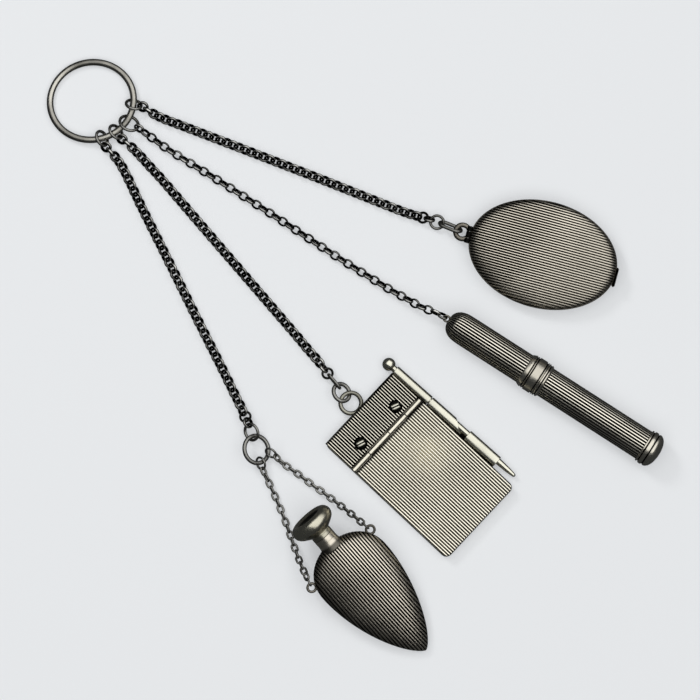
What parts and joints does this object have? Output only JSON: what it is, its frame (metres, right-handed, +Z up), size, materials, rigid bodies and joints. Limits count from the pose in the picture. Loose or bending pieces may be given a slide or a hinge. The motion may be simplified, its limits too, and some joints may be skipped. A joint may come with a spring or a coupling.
{
  "type": "chatelaine",
  "caption": "Antique silver chatelaine laid flat: a plain finger ring with belcher chains carrying an oval hinged case, a reeded tube case, a notepad with pencil and a flat scent flask.",
  "frame": {"origin": "middle of the laid-out chatelaine on the surface it lies on", "axes": "+X to the right along the longest extent, +Y towards the finger ring's side (up in the picture), +Z up out of the surface"},
  "size_m": [0.1849, 0.178, 0.018],
  "materials": {
    "silver": "polished, lightly scratched silver",
    "worn_silver": "worn bright on the reeds, oxidised black between them",
    "dark_silver": "oxidised silver, bright where it rubs",
    "leaves": "matt off-white writing leaves"
  },
  "bodies": {
    "laid_out": {"finger_ring": "silver", "jump_ring_case": "dark_silver", "jump_ring_tube": "dark_silver", "jump_ring_pad": "dark_silver", "jump_ring_flask": "dark_silver", "chain_case": "dark_silver", "chain_tube": "dark_silver", "chain_pad": "dark_silver", "chain_flask": "dark_silver", "case_ring": "dark_silver", "case_link": "dark_silver", "case_base": "worn_silver", "case_hinge_pin": "silver", "pad_link": "dark_silver", "pad_ring": "dark_silver", "pad_back": "worn_silver", "pad_leaves": "leaves", "pad_top_strip": "worn_silver", "pad_screw_1": "silver", "pad_screw_2": "silver", "pad_hinge_pin": "silver", "tube_cap": "worn_silver", "flask_end_ring": "dark_silver", "flask_oval_ring": "silver", "flask_chain_left": "dark_silver", "flask_chain_right": "dark_silver", "flask_body": "dark_silver"},
    "case_lid": {"case_lid": "worn_silver"},
    "pad_cover": {"pad_cover": "worn_silver"},
    "pencil": {"pencil": "silver"},
    "flask_stopper": {"flask_stopper": "silver"},
    "tube_body": {"tube_body": "worn_silver"}
  },
  "joints": [
    {"name": "case_lid_hinge", "type": "hinge", "parent": "laid_out", "child": "case_lid", "pos_m": [0.03406, 0.03621, 0.00505], "axis": [-0.2622, -0.965, 0], "range_deg": [0, 95]},
    {"name": "pad_cover_hinge", "type": "hinge", "parent": "laid_out", "child": "pad_cover", "pos_m": [0.00928, -0.02416, 0.0038], "axis": [-0.6845, -0.729, 0], "range_deg": [0, 150]},
    {"name": "pencil_slide", "type": "slide", "parent": "laid_out", "child": "pencil", "axis": [-0.7478, 0.6639, 0], "range_m": [0, 0.035]},
    {"name": "stopper_slide", "type": "slide", "parent": "laid_out", "child": "flask_stopper", "axis": [-0.6464, 0.7409, 0.1822], "range_m": [0, 0.008]},
    {"name": "tube_slide", "type": "slide", "parent": "laid_out", "child": "tube_body", "axis": [0.8415, -0.5402, 0], "range_m": [0, 0.025]}
  ]
}
